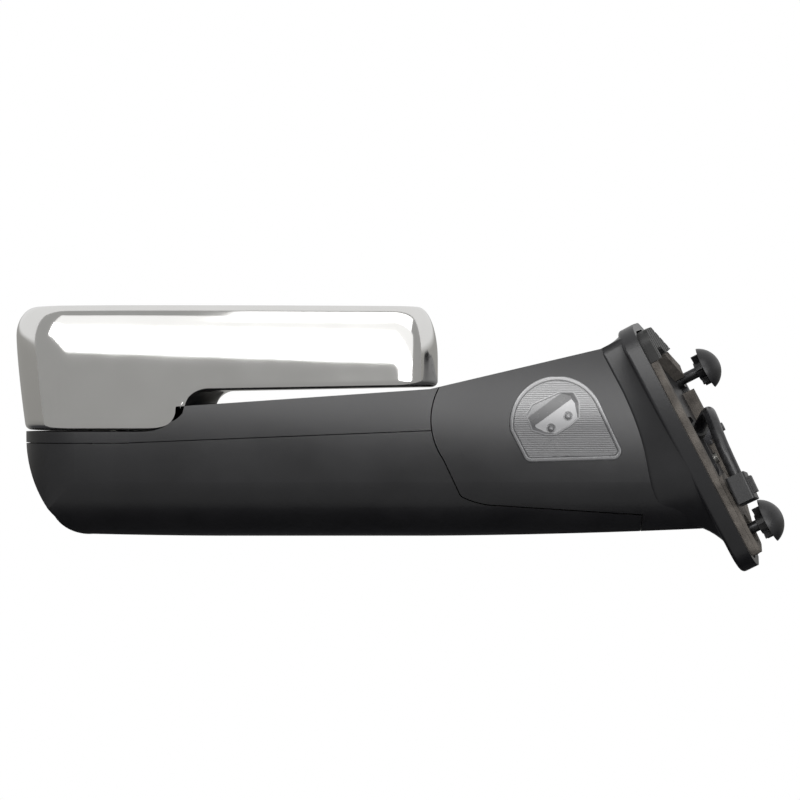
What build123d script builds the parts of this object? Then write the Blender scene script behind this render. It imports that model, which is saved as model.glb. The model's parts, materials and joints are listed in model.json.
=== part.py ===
from build123d import *
import math
import os

# A left-hand flip-up towing mirror, stowed for normal driving. Millimetres, +Z up.
# +X runs inboard along the arm to the door, +Y forward, and the glass faces -Y.
# Shapes are built about the fold axis, with the arm's underside at z = 0, and are
# written about the door studs' centre, on the flange's back plane.

# ---- Driving dimensions ----
GAP = 0.8                # seam between two covers
WALL = 2.8               # covers and housings
ARM_HEIGHT = 84.0
ARM_FRONT = 83.5         # front face of the arm, from the fold axis
ARM_NOSE_R = 40.0        # rounding of the arm's two front edges
KNUCKLE_R = 48.0         # round end of the base, about the fold axis
KNUCKLE_TOP = 50.0       # the base's knuckle below, the arm's above
SWEEP_R = 59.8           # the seam keeps this radius where the tongue sweeps past
TONGUE_END = 101.5       # where the front cover ends, beside the base
ARM_X0 = -338.0          # outboard end of the arm
FLIP_X, FLIP_Z = -280.0, 56.0
TURRET_R = 62.0          # flat face of the head's round turret
TURRET_ARC = 14.0        # each half of the turret's S-shaped flank
HEAD_X0, HEAD_X1 = -345.0, -43.0
HEAD_Z1 = 200.0
HEAD_REAR, HEAD_FRONT = -81.0, -20.6
HEAD_LEAN = 3.0          # the front face falls back by this much at its inboard end
RIM_R = 16.0
GLASS_X0, GLASS_X1 = -254.0, -64.0
SPOT_X0, SPOT_X1 = -317.0, -262.0
GLASS_Z0, GLASS_Z1 = 21.0, 179.0
GLASS_R = 20.0
GLASS_Y = -68.0          # outer face of the main glass
TILT_DEG = 7.0
PIVOT_Y = -56.0          # tilt axes of the main glass
SCREW_OFFSET = 34.0      # jackscrews, from the tilt axes
SPOT_PIVOT_Y = -58.0
FLANGE_BEARING = 27.7    # flange's bottom edge, from +Y towards +X
TUMBLEHOME = 14.0        # the door's glass leans inboard
FLANGE_MID = (134.75, 19.95, -10.0)
FLANGE_DEPTH = 12.5
FLANGE_EDGE_R = 3.0      # rounding of the flange's outer edge
RECESS = 9.0             # depth of the flange's back
LAMP_MID, LAMP_R = (40, 2.8), 33.4
RIM_WIDTH = 5.5
STUD_PCD, STUD_TILT = 148.5, -42.3
STUD_U, STUD_V = 14.6, 70.0
STUD_R, THREAD_R = 4.0, 3.0
STUD_CLEARANCE = 11.0    # room for the door's sleeve and nut round each stud
BASE_SCREWS = [(-60, 24), (48, 62), (-62, 84), (22, 106)]
HEAD_SCREWS = [(-310, 100), (-70, 100), (-230, 120), (-190, 14), (-100, 190)]
SHANK_END, THREAD_END = 12.0, 26.0
CAP_BASE, CAP_HEIGHT, CAP_R = 19.5, 11.0, 16.0
POST_R = 14.0
HUB_R = 27.0             # arm's hub about the fold post
HUB_Z0, HUB_Z1 = KNUCKLE_TOP + 5.6, KNUCKLE_TOP + 16.8
RUNNING = 0.05
CLEAR = 0.3

FLIP_AXIS = Axis((FLIP_X, 0, FLIP_Z), (0, 1, 0))
GLASS_X = (GLASS_X0 + GLASS_X1) / 2
GLASS_Z = (GLASS_Z0 + GLASS_Z1) / 2
SPOT_X = (SPOT_X0 + SPOT_X1) / 2

bearing = math.radians(FLANGE_BEARING)
tumble = math.radians(TUMBLEHOME)
ALONG = Vector(math.sin(bearing), math.cos(bearing), 0)
INBOARD = Vector(math.cos(bearing) * math.cos(tumble), -math.sin(bearing) * math.cos(tumble),
                 -math.sin(tumble))
FLANGE = Plane(origin=FLANGE_MID, x_dir=ALONG, z_dir=INBOARD)
# On FLANGE, local x runs forward, local y up the flange, and z points to the door.


def at_flange(u, v, out=0.0):
    """A point by its place on the flange's back plane, and its distance towards the door."""
    return FLANGE.from_local_coords(Vector(u, v, out))


ORIGIN = at_flange(STUD_U, STUD_V)


# ---- Helpers ----
def box(x0, x1, y0, y1, z0, z1):
    return Pos((x0 + x1) / 2, (y0 + y1) / 2, (z0 + z1) / 2) * Box(x1 - x0, y1 - y0, z1 - z0)


def rod(start, end, radius):
    """A solid cylinder between two points."""
    start, end = Vector(start), Vector(end)
    plane = Plane(origin=start, z_dir=end - start)
    return extrude(plane * Circle(radius), amount=(end - start).length)


def tube(start, end, outer, inner):
    start, end = Vector(start), Vector(end)
    plane = Plane(origin=start, z_dir=end - start)
    return extrude(plane * (Circle(outer) - Circle(inner)), amount=(end - start).length)


def group(pieces):
    """Separate solids kept in one node."""
    return Compound([piece.solid() for piece in pieces])


def upright(sketch, z0, z1):
    """A plan outline made into a prism from z0 to z1."""
    return extrude(Pos(0, 0, z0) * sketch, amount=z1 - z0)


def front_view(sketch, y0, y1):
    """An outline in X and Z made into a prism from y0 to y1."""
    plane = Plane(origin=(0, y1, 0), x_dir=(1, 0, 0), z_dir=(0, -1, 0))
    return extrude(plane * sketch, amount=y1 - y0)


def slab(outline, out0, out1):
    """An outline on the flange made into a plate between two distances towards the door."""
    return extrude(FLANGE.offset(out0) * outline, amount=out1 - out0)


def polygon(points, radius=0.0):
    face = make_face(Polyline(*points, close=True))
    return fillet(face.vertices(), radius) if radius else face


def rounded(x0, x1, z0, z1, radius):
    return Pos((x0 + x1) / 2, (z0 + z1) / 2) * RectangleRounded(x1 - x0, z1 - z0, radius)


# ---- Outlines shared by several pieces ----
def arm_plan():
    """Arm and base seen from above, from the outboard end to beyond the flange."""
    rear = Polyline((ARM_X0, -2), (-213, -10.3), (-49, -21.7), (70, -49.7), (260, -92))
    far = Line((260, -92), (260, 70))
    front = ThreePointArc((260, 70), (-60, ARM_FRONT), (-289, 81.4))
    corner = ThreePointArc((-289, 81.4), (-304, 78), (-313, 68))
    side = ThreePointArc((-313, 68), (-331.5, 37), (ARM_X0, -2))
    return make_face(Curve() + [rear, far, front, corner, side])


def arm_section(inset):
    """Arm seen end on, as an outline in X and Z of its own: x is forward, y is up."""
    nose = ARM_NOSE_R - inset
    whole = Pos(-30, ARM_HEIGHT / 2) * Rectangle(2 * (ARM_FRONT + 30 - inset), ARM_HEIGHT - 2 * inset)
    return fillet(whole.vertices().sort_by(Axis.X)[-2:], nose)


def envelope(inset=0.0):
    """The whole arm and base as one body, or its inside when inset is a wall's thickness."""
    plan = arm_plan()
    if inset:
        plan = offset(plan, amount=-inset, kind=Kind.INTERSECTION)
    body = upright(plan, inset, ARM_HEIGHT - inset)
    end_on = Plane(origin=(-400, 0, 0), x_dir=(0, 1, 0), z_dir=(1, 0, 0))
    body &= extrude(end_on * arm_section(inset), amount=700)
    outline = rounded(ARM_X0 + inset, 600, inset, ARM_HEIGHT - inset, 40 - inset)
    return body & front_view(outline, -200, 200)


def base_zone():
    """Everything inboard of the fold seam, in plan."""
    start, end = (-42.2, -22.9), (-39.4, 27.4)
    knuckle = ThreePointArc(start, (-KNUCKLE_R, 0), end)
    elbow = (SWEEP_R * math.cos(math.radians(117)), SWEEP_R * math.sin(math.radians(117)))
    swept = CenterArc((0, 0), SWEEP_R, 117, -27)
    rest = Polyline((0, SWEEP_R), (101, 66.5), (TONGUE_END, 120), (400, 120), (400, -200),
                    (-42.2, -200), start)
    face = make_face(Curve() + [knuckle, Line(end, elbow), swept, rest])
    corner = face.vertices().sort_by_distance(Vertex(*elbow, 0))[0]
    return fillet(corner, 5)


def turret_flank(grow):
    """Half section of the turret, as radius and y, swept about the flip axis."""
    top = HEAD_FRONT + 2 * TURRET_ARC
    mid = HEAD_FRONT + TURRET_ARC
    outer, inner = TURRET_ARC + grow, TURRET_ARC - grow
    lines = [Line((0, top + grow), (TURRET_R, top + grow)),
             CenterArc((TURRET_R, mid), outer, 0, 90),
             CenterArc((TURRET_R + 2 * TURRET_ARC, mid), inner, 180, 90),
             Polyline((TURRET_R + 2 * TURRET_ARC, mid - inner), (TURRET_R + 2 * TURRET_ARC, -60), (0, -60),
                      (0, top + grow))]
    return make_face(Curve() + lines)


def turret(grow=0.0):
    plane = Plane(origin=(FLIP_X, 0, FLIP_Z), x_dir=(1, 0, 0), z_dir=(0, 0, 1))
    return revolve(plane * turret_flank(grow), axis=FLIP_AXIS)


def head_outline(inset=0.0):
    """The head seen from behind: wide corners outboard, tighter ones inboard."""
    sketch = Pos((HEAD_X0 + HEAD_X1) / 2, HEAD_Z1 / 2) * Rectangle(
        HEAD_X1 - HEAD_X0 - 2 * inset, HEAD_Z1 - 2 * inset)
    by_x = sketch.vertices().sort_by(Axis.X)
    sketch = fillet(by_x[:2], 40 - inset)
    return fillet(sketch.vertices().sort_by(Axis.X)[-2:], 30 - inset)


def head_body(inset=0.0):
    """The head's case as one body, or its inside."""
    body = front_view(head_outline(inset), HEAD_REAR + inset, HEAD_FRONT - inset)
    lean = math.degrees(math.atan2(HEAD_LEAN, HEAD_X1 - (-213)))
    cutter = Pos(-213, HEAD_FRONT - inset, 0) * Rot(0, 0, -lean) * box(0, 300, 0, 60, -50, 300)
    body -= cutter
    boss = turret(-inset) & front_view(head_outline(inset), -60, 60)
    return body + boss


def flange_outline(inset=0.0):
    sketch = polygon([(-97, 0), (97, 0), (92, 36), (48, 130), (-50, 132), (-95, 46)], 17)
    return offset(sketch, amount=-inset) if inset else sketch


def lamp_outline(inset=0.0):
    """The puddle lamp's lens in plan."""
    crown = CenterArc(LAMP_MID, LAMP_R, -26.1, -161.9)
    sides = Polyline(crown @ 1, (18.4, 29.6), (88.5, 27.6), crown @ 0)
    sketch = make_face(Curve() + [crown, sides])
    sketch = fillet(sketch.vertices().sort_by(Axis.Y)[-2:], 6)
    return offset(sketch, amount=-inset) if inset else sketch


# ---- Base ----
def base_housing():
    """Black shell with the knuckle, the flared flange and the lamp's opening."""
    keep = extrude(FLANGE * Rectangle(900, 900), amount=-600)
    outer = envelope() & upright(base_zone(), -60, 200) & keep
    plate = slab(flange_outline(), -FLANGE_DEPTH, 0)
    plate = fillet(plate.faces().sort_by(Axis(FLANGE_MID, INBOARD))[0].edges(), FLANGE_EDGE_R)
    outer += plate
    outer -= upright(Circle(KNUCKLE_R + 1.4), KNUCKLE_TOP, 200)
    zone = offset(base_zone(), amount=-WALL, kind=Kind.INTERSECTION)
    inner = envelope(WALL) & upright(zone, -60, 200)
    inner -= upright(Circle(KNUCKLE_R + 1.4 + WALL), KNUCKLE_TOP - WALL, 200)
    shell = outer - inner
    shell -= slab(flange_outline(RIM_WIDTH), -RECESS, 1)
    shell -= upright(lamp_outline(), -1, WALL + 1)
    shell -= upright(Circle(POST_R + 4), KNUCKLE_TOP - WALL - 1, KNUCKLE_TOP + 1)
    return shell


def flange_place(u, v):
    """Plane on the bracket's outer face, its z towards the door."""
    return Plane(origin=at_flange(u, v), x_dir=ALONG, z_dir=INBOARD)


def stud_places():
    half = STUD_PCD / 2
    turn = math.radians(STUD_TILT)
    du, dv = half * math.cos(turn), half * math.sin(turn)
    return {"lower": (STUD_U + du, STUD_V + dv), "upper": (STUD_U - du, STUD_V - dv)}


def disc(place, radius, out0, out1):
    """A cylinder square to the flange, between two distances towards the door."""
    plane = flange_place(*place)
    return extrude(plane.offset(out0) * Circle(radius), amount=out1 - out0)


def base_bracket():
    """Die-cast: back plate in the flange's recess, beam and boss for the fold post."""
    plate = slab(flange_outline(RIM_WIDTH + 1), -RECESS, -4)
    plate -= slab(polygon([(-18, 64), (36, 64), (30, 98), (-14, 98)], 8), -20, 5)
    keep = extrude(FLANGE.offset(1 - RECESS) * Rectangle(900, 900), amount=-600)
    beam = box(0, 260, -16, 24, 22, 44)
    beam -= box(30, 105, -9, 17, 18, 36)
    beam += upright(Circle(26), 20, KNUCKLE_TOP - WALL - CLEAR)
    bracket = plate + (beam & keep)
    bracket -= rod((0, 0, 10), (0, 0, 70), POST_R - 4)
    bracket -= upright(lamp_outline(-2), 0, 18)
    for place in stud_places().values():
        bracket -= disc(place, 4.55, -30, 5)
    return bracket


def door_studs():
    """Two studs for the door's nuts: collar, plain shank and a thinner threaded end."""
    studs = []
    for place in stud_places().values():
        stud = disc(place, 4.5, -9, -4) + disc(place, 6.2, -4, 0)
        stud += disc(place, STUD_R, 0, SHANK_END) + disc(place, THREAD_R, SHANK_END, THREAD_END)
        studs.append(stud)
    return group(studs)


def stud_cap(place):
    """A push-on mushroom cap: dome, hollow underside, and fins on a tapered stem."""
    foot = SHANK_END + 0.6
    sphere_r = (CAP_R ** 2 + CAP_HEIGHT ** 2) / (2 * CAP_HEIGHT)
    top = CAP_BASE + CAP_HEIGHT
    cap = Pos(0, 0, top - sphere_r) * Sphere(sphere_r) & box(-20, 20, -20, 20, CAP_BASE, top)
    cap -= rod((0, 0, CAP_BASE - 1), (0, 0, CAP_BASE + 2.5), CAP_R - 2.5)
    stem_height = CAP_BASE + 5 - foot
    cap += Pos(0, 0, foot + stem_height / 2) * Cone(7.2, 8.4, stem_height)
    for k in range(6):
        cap += Rot(0, 0, 60 * k + 20) * box(5, CAP_R - 3.2, -0.7, 0.7, foot + 0.9, CAP_BASE + 4)
    cap -= rod((0, 0, foot - 1), (0, 0, THREAD_END + 0.6), THREAD_R + RUNNING)
    return flange_place(*place).location * cap


def rear_end():
    """The rear end of the flange, where the ribbed seal takes the gasket's place."""
    return Pos(-96, 70) * Rectangle(60, 200)


def block_outline(grow=0.0):
    sketch = polygon([(26, 9), (88, 9), (84, 34), (60, 44), (28, 38)], 6)
    return offset(sketch, amount=grow) if grow else sketch


def clear_of_studs(piece):
    for place in stud_places().values():
        piece -= disc(place, STUD_CLEARANCE, -10, 40)
    return piece


def flange_gasket():
    """Foam ring inside the rim, proud of it."""
    ring = flange_outline(RIM_WIDTH + 1.5) - flange_outline(RIM_WIDTH + 12)
    ring = ring - rear_end() - block_outline(0.3) - Pos(4, 112) * Circle(8.4)
    foam = clear_of_studs(slab(ring, -4, 4))
    for place in BASE_SCREWS:
        foam -= disc(place, 5, -10, 10)
    return foam


def rear_seal():
    """Ribbed rubber band along the rear end of the flange."""
    ring = flange_outline(RIM_WIDTH + 1.5) - flange_outline(RIM_WIDTH + 17)
    strip = slab(ring & (Pos(-0.4, 0) * rear_end()), -4, 7)
    for k in range(12):
        strip -= slab(Pos(-80, 12 + 10 * k) * Rectangle(60, 3), 4.6, 10)
    return clear_of_studs(strip)


def foam_block():
    """Thick foam pad at the forward end of the flange."""
    return clear_of_studs(slab(block_outline(), -4, 6.5))


def locating_peg():
    """Plastic peg that finds the door's third hole, with a flat base."""
    place = (4, 112)
    return disc(place, 8, -4, -1) + disc(place, 4.6, -1, 9) + disc(place, 3.2, 9, 12)


def lamp_housing():
    """Reflector box above the lens, with a rim that it is clipped in by."""
    outer = upright(lamp_outline(1.2), WALL + 0.6, 17)
    inner = upright(lamp_outline(4.4), 0, 14.6)
    cup = outer - inner
    return cup - upright(Circle(POST_R + 8), 0, 30)


def lamp_lens():
    """Clear lens: a stepped plate with fine ribs inside."""
    plate = upright(lamp_outline(0.4), -0.8, 2.2) + upright(lamp_outline(5), 2, WALL + 0.6)
    plate -= upright(lamp_outline(6.2), -1, 0.2)
    for k in range(33):
        rib = box(0, 100, -25.6 + 1.7 * k, -24.7 + 1.7 * k, WALL + 0.1, 10)
        plate -= rib
    return plate


def lamp_board():
    """Circuit board under the reflector's roof."""
    return upright(polygon([(34, -14), (56, -14), (64, 14), (34, 14)], 3), 12.4, 14.2)


def lamp_leds():
    """Two light-emitting diodes on the board."""
    leds = []
    for x, y in ((40.0, 2.0), (52.0, -5.0)):
        led = upright(Pos(x, y) * RectangleRounded(5, 5, 1), 10.8, 12.4)
        led += Pos(x, y, 10.4) * Sphere(1.9)
        leds.append(led)
    return group(leds)


def base_screws():
    """Four screws from the bracket's plate into the housing's flange."""
    screws = []
    for place in BASE_SCREWS:
        screw = disc(place, 4.0, -4, -1.6)
        screw -= disc(place, 1.6, -2.8, 0)
        screws.append(screw)
    return group(screws)


def fold_post():
    """Hollow steel post that the arm folds about, flanged at its foot."""
    foot = KNUCKLE_TOP - WALL - CLEAR
    return tube((0, 0, foot), (0, 0, HUB_Z1 + 11), POST_R, POST_R - 4)


def fold_detent_ring():
    """Fixed half of the fold detent, with three ramps."""
    ring = tube((0, 0, KNUCKLE_TOP + 0.1), (0, 0, KNUCKLE_TOP + 2.1), HUB_R, POST_R + 4.2)
    for k in range(3):
        ring += Rot(0, 0, 120 * k + 20) * Pos(22.6, 0, KNUCKLE_TOP + 2.5) * Box(6, 5, 1.0)
    return ring


def washers(x, y, z, count, inner, outer, step, direction):
    """A stack of conical disc springs about an axis, each a separate solid."""
    discs = []
    for k in range(count):
        rise = 0.9 if k % 2 == 0 else -0.9
        low = k * step + (0 if rise > 0 else 0.9)
        face = polygon([(inner, low), (outer, low + rise), (outer, low + rise + 1.0), (inner, low + 1.0)])
        plane = Plane(origin=(x, y, z), x_dir=(1, 0, 0), z_dir=(0, -1, 0))
        if direction == "y":
            plane = Plane(origin=(x, y, z), x_dir=(1, 0, 0), z_dir=(0, 0, 1))
        axis = Axis((x, y, z), (0, 0, 1) if direction == "z" else (0, 1, 0))
        discs.append(revolve(plane * face, axis=axis))
    return group(discs)


def fold_springs():
    return washers(0, 0, HUB_Z1 + 0.4, 3, POST_R + 0.4, 22, 2.2, "z")


def fold_retainer():
    """Slotted ring that holds the fold springs down."""
    ring = tube((0, 0, HUB_Z1 + 7.4), (0, 0, HUB_Z1 + 11), 20, POST_R)
    for k in range(4):
        ring -= Rot(0, 0, 90 * k) * Pos(20, 0, HUB_Z1 + 9) * Box(4, 5, 6)
    return ring


# ---- Wiring on the flange's back ----
HARNESS_R = 4.5
HARNESS_POINTS = [(-5, 84, -1), (-14, 66, 12), (-14, 38, 16.5), (6, 18, 16), (31, 12, 15.5)]


def harness_route():
    return [at_flange(*p) for p in HARNESS_POINTS]


def harness_radii(points):
    """One radius for each corner: 0.45 of the shorter run over the tangent of half the turn."""
    radii = []
    for a, b, c in zip(points, points[1:], points[2:]):
        turn = math.radians((b - a).get_angle(c - b))
        radii.append(0.45 * min((b - a).length, (c - b).length) / math.tan(turn / 2))
    return radii


def wire_harness():
    points = harness_route()
    radii = harness_radii(points)
    path = FilletPolyline(*points, radius=radii)
    start = Plane(origin=points[0], z_dir=points[1] - points[0])
    cable = sweep(start * Circle(HARNESS_R), path=path)
    expected = math.pi * HARNESS_R ** 2 * path.length
    print("harness radii", [round(r, 1) for r in radii], "length", round(path.length, 1),
          "volume ratio", round(cable.volume / expected, 3))
    return cable


def harness_grommet():
    """Rubber grommet in the bracket's window, where the harness comes out."""
    points = harness_route()
    toward = (points[1] - points[0]).normalized()
    inner = points[0] - toward * 6
    return rod(inner, points[0] - toward * 0.05, HARNESS_R + 2)


def harness_connector():
    """Plug housing on the harness's free end, with a latch and sockets."""
    points = harness_route()
    end = points[-1]
    toward = (points[-1] - points[-2]).normalized()
    plane = Plane(origin=end + toward * 0.05, x_dir=INBOARD.cross(toward), z_dir=toward)
    body = extrude(plane * RectangleRounded(20, 14, 2), amount=20)
    body -= extrude(plane.offset(12) * RectangleRounded(16, 10, 1), amount=10)
    return body + extrude(plane.offset(4) * Pos(0, 8) * Rectangle(7, 3), amount=12)


# ---- Arm ----
def arm_cavity(margin):
    """What the base takes from the arm: its zone, less the arm's own half of the knuckle."""
    zone = offset(base_zone(), amount=GAP + margin, kind=Kind.INTERSECTION)
    upper = offset(base_zone() - Circle(KNUCKLE_R + 1.6), amount=GAP + margin)
    split = KNUCKLE_TOP + 0.6 + margin
    return upright(zone, -60, split) + upright(upper, split, 200)


def arm_shell():
    outer = envelope() - arm_cavity(0) - turret(0.9)
    inner = envelope(WALL) - arm_cavity(WALL) - turret(0.9 + WALL)
    return outer - inner - upright(Circle(HUB_R + 2), KNUCKLE_TOP - 5, HUB_Z0)


def seam_front(gap):
    """Everything in front of the seam between the arm's two covers."""
    line = polygon([(-400, 16.8), (-266, 16.6), (-47.6, 7.7), (120, 3), (120, 200), (-400, 200)])
    return upright(offset(line, amount=gap, kind=Kind.INTERSECTION) if gap else line, -60, 200)


SHELL = arm_shell()


def arm_front_cover():
    return SHELL & seam_front(0)


def arm_rear_cover():
    cover = SHELL - seam_front(0.6)
    return cover - rod((FLIP_X, 0, FLIP_Z), (FLIP_X, 20, FLIP_Z), POST_R + 3)


def arm_frame():
    """Cast beam: hub about the fold post, box beam, and the plate for the flip shaft."""
    frame = tube((0, 0, HUB_Z0), (0, 0, HUB_Z1), HUB_R, POST_R + 3)
    frame += box(-60, -14, -6, 22, HUB_Z0, HUB_Z1)
    frame += box(-80, -52, -6, 50, HUB_Z0, HUB_Z1)
    frame += box(-262, -52, 22, 50, 30, HUB_Z1) - box(-246, -62, 27, 45, 20, 62)
    frame += front_view(Pos(FLIP_X, FLIP_Z - 10) * Circle(33), 20.6, 27)
    frame += box(-280, -250, 22, 50, 30, HUB_Z1) - rod((FLIP_X, 27, FLIP_Z), (FLIP_X, 60, FLIP_Z), 24)
    frame -= upright(Circle(POST_R + 3), 50, 90)
    for x, z in arm_screw_places():
        frame -= rod((x, 10, z), (x, 40, z), 1.65)
    return frame - rod((FLIP_X, 0, FLIP_Z), (FLIP_X, 60, FLIP_Z), 13.05)


def fold_bush():
    return tube((0, 0, HUB_Z0), (0, 0, HUB_Z1), POST_R + 3 - RUNNING, POST_R + RUNNING)


def fold_detent_plate():
    """Moving half of the fold detent, under the hub."""
    return tube((0, 0, KNUCKLE_TOP + 3.4), (0, 0, HUB_Z0 - 0.1), HUB_R, POST_R + 4.2)


def flip_shaft():
    """Hollow shaft that the head flips about, flanged inside the arm."""
    shaft = tube((FLIP_X, -33, FLIP_Z), (FLIP_X, 27.1, FLIP_Z), 13, 9)
    return shaft + tube((FLIP_X, 27.1, FLIP_Z), (FLIP_X, 30.1, FLIP_Z), 18, 9)


def flip_washer():
    return tube((FLIP_X, -10.4, FLIP_Z), (FLIP_X, -8.4, FLIP_Z), 22, 13.1)


def flip_springs():
    return washers(FLIP_X, -20.2, FLIP_Z, 4, 13.4, 21, 2.35, "y")


def flip_nut():
    """Hexagonal nut on the shaft's end."""
    ring = front_view(Pos(FLIP_X, FLIP_Z) * RegularPolygon(20, 6), -30, -21)
    return ring - rod((FLIP_X, -40, FLIP_Z), (FLIP_X, 0, FLIP_Z), 13)


def screw_y(x, y, z, length, radius=3.6):
    """A pan-head screw along +Y, its head's outer face at y."""
    screw = rod((x, y, z), (x, y + 2.2, z), radius) + rod((x, y + 2.2, z), (x, y + length, z), 1.6)
    return screw - rod((x, y - 1, z), (x, y + 1.2, z), 1.5)


def arm_screw_places():
    return [(-226, 38), (-226, 58), (-120, 38), (-120, 58)]


def arm_screws():
    """Screws in the beam that hold the covers' clips."""
    return group([screw_y(x, 19.7, z, 8) for x, z in arm_screw_places()])


# ---- Head ----
def head_cover():
    """Bright-plated shell with a rolled rim behind and the round turret in front."""
    shells = []
    for inset in (0.0, WALL):
        body = head_body(inset)
        rim = body.faces().sort_by(Axis.Y)[0].outer_wire().edges()
        shells.append(fillet(rim, RIM_R - inset))
    shell = shells[0] - shells[1]
    shell -= front_view(head_outline(14.5), HEAD_REAR - 5, HEAD_REAR + 10)
    return shell - rod((FLIP_X, 0, FLIP_Z), (FLIP_X, 20, FLIP_Z), 17)


def head_bezel():
    """Black frame round the two glasses: a well behind each, and a bar between them."""
    wells = rounded(GLASS_X0 - 3.2, GLASS_X1 + 3.2, GLASS_Z0 - 3.2, GLASS_Z1 + 3.2, GLASS_R + 3)
    wells += rounded(SPOT_X0 - 2.2, SPOT_X1 + 2.2, GLASS_Z0 - 3.2, GLASS_Z1 + 3.2, 18)
    frame = front_view(head_outline(14.8), HEAD_REAR + 1, -47)
    frame += front_view(head_outline(5), -60, -47)
    return frame - front_view(wells, HEAD_REAR - 5, -40)


def head_frame():
    """Moulded frame: pierced plate, and a cup that turns on the flip shaft."""
    plate = front_view(head_outline(5), -40, -36.5)
    for x0, x1, z0, z1 in ((-220, -196, 20, 100), (-118, -66, 16, 62), (-118, -66, 138, 184),
                           (-250, -200, 138, 184), (-300, -262, 130, 184)):
        plate -= front_view(rounded(x0, x1, z0, z1, 6), -45, -30)
    cup = rod((FLIP_X, -38, FLIP_Z), (FLIP_X, 4.2, FLIP_Z), 34)
    frame = plate + cup
    for z in (30, 170):
        frame += box(-230, -70, -36.6, -31, z - 2, z + 2)
    frame -= rod((FLIP_X, -50, FLIP_Z), (FLIP_X, -8, FLIP_Z), 25)
    frame -= rod((FLIP_X, -50, FLIP_Z), (FLIP_X, 20, FLIP_Z), 16.5)
    frame -= front_view(rounded(GLASS_X - 47, GLASS_X + 47, GLASS_Z - 42, GLASS_Z + 47, 8), -45, -36)
    for x, z in HEAD_SCREWS:
        frame -= rod((x, -50, z), (x, -30, z), 1.65)
    return frame


def flip_bush():
    return tube((FLIP_X, -8, FLIP_Z), (FLIP_X, 7, FLIP_Z), 16.45, 13.05)


def actuator_housing():
    """Gearbox tray for the two motors and jackscrews."""
    outline = rounded(GLASS_X - 46, GLASS_X + 46, GLASS_Z - 41, GLASS_Z + 46, 8)
    tray = front_view(outline, -45, -27)
    return tray - front_view(offset(outline, amount=-2), -46, -29)


def actuator_cover():
    """Gearbox lid, with the yoke of the glass's pan axis and the jackscrews' guides."""
    outline = rounded(GLASS_X - 46, GLASS_X + 46, GLASS_Z - 41, GLASS_Z + 46, 8)
    lid = front_view(outline, -47, -45.05)
    for side in (-1, 1):
        z = GLASS_Z + side * 11
        ear = box(GLASS_X - 4, GLASS_X + 4, PIVOT_Y, -46, z - 2, z + 2)
        ear += rod((GLASS_X, PIVOT_Y, z - 2), (GLASS_X, PIVOT_Y, z + 2), 4)
        lid += ear
    for x, z in screw_places():
        lid -= rod((x, -60, z), (x, -30, z), 4.0)
    return lid - rod((GLASS_X, PIVOT_Y, GLASS_Z - 20), (GLASS_X, PIVOT_Y, GLASS_Z + 20), 2 + RUNNING)


def screw_places():
    return [(GLASS_X + SCREW_OFFSET, GLASS_Z), (GLASS_X, GLASS_Z + SCREW_OFFSET)]


def motor(x, z):
    """Small can motor with its worm, lying in the gearbox."""
    can = rod((x - 14, -37.5, z), (x + 8, -37.5, z), 7.5)
    worm = rod((x + 8, -37.5, z), (x + 16, -37.5, z), 2)
    for k in range(4):
        worm += rod((x + 9 + 1.8 * k, -37.5, z), (x + 10 + 1.8 * k, -37.5, z), 2.8)
    return can + worm


def jackscrew(x, z):
    """Threaded rod with a ball end that pushes the glass carrier."""
    shaft = rod((x, PIVOT_Y, z), (x, -35, z), 3.0)
    for k in range(5):
        y = -46 + 2 * k
        shaft += rod((x, y, z), (x, y + 1, z), 3.5)
    return shaft + Pos(x, PIVOT_Y, z) * Sphere(3.9)


def gimbal_cross():
    """Cross that carries the glass on two crossed pins."""
    block = box(GLASS_X - 7.5, GLASS_X + 7.5, PIVOT_Y - 3, PIVOT_Y + 3, GLASS_Z - 7.5, GLASS_Z + 7.5)
    block += rod((GLASS_X, PIVOT_Y, GLASS_Z - 13), (GLASS_X, PIVOT_Y, GLASS_Z + 13), 2)
    return block + rod((GLASS_X - 13, PIVOT_Y, GLASS_Z), (GLASS_X + 13, PIVOT_Y, GLASS_Z), 2)


def glass_carrier():
    """Plate behind the main glass: ears on the tilt axis and two cups for the ball ends."""
    plate = front_view(rounded(GLASS_X0 + 1, GLASS_X1 - 1, GLASS_Z0 + 1, GLASS_Z1 - 1, GLASS_R - 1),
                       -65, -62.5)
    for side in (-1, 1):
        x = GLASS_X + side * 11
        plate += box(x - 2, x + 2, -63, PIVOT_Y, GLASS_Z - 4, GLASS_Z + 4)
        plate += rod((x - 2, PIVOT_Y, GLASS_Z), (x + 2, PIVOT_Y, GLASS_Z), 4)
    plate -= rod((GLASS_X - 20, PIVOT_Y, GLASS_Z), (GLASS_X + 20, PIVOT_Y, GLASS_Z), 2 + RUNNING)
    for x, z in screw_places():
        plate += tube((x, -63, z), (x, PIVOT_Y + 0.5, z), 7.2, 5.0)
    for x0, x1 in ((GLASS_X0 + 20, GLASS_X - 30), (GLASS_X + 52, GLASS_X1 - 12)):
        for z0, z1 in ((GLASS_Z0 + 14, GLASS_Z - 8), (GLASS_Z + 8, GLASS_Z1 - 14)):
            plate -= front_view(rounded(x0, x1, z0, z1, 6), -63.6, -60)
    return plate


def heater_pad():
    return front_view(rounded(GLASS_X0 + 5, GLASS_X1 - 5, GLASS_Z0 + 5, GLASS_Z1 - 5, GLASS_R - 5),
                      -65.6, -65.05)


def main_glass():
    glass = front_view(rounded(GLASS_X0, GLASS_X1, GLASS_Z0, GLASS_Z1, GLASS_R), GLASS_Y, -65.65)
    return chamfer(glass.faces().sort_by(Axis.Y)[0].edges(), 0.6)


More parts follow.
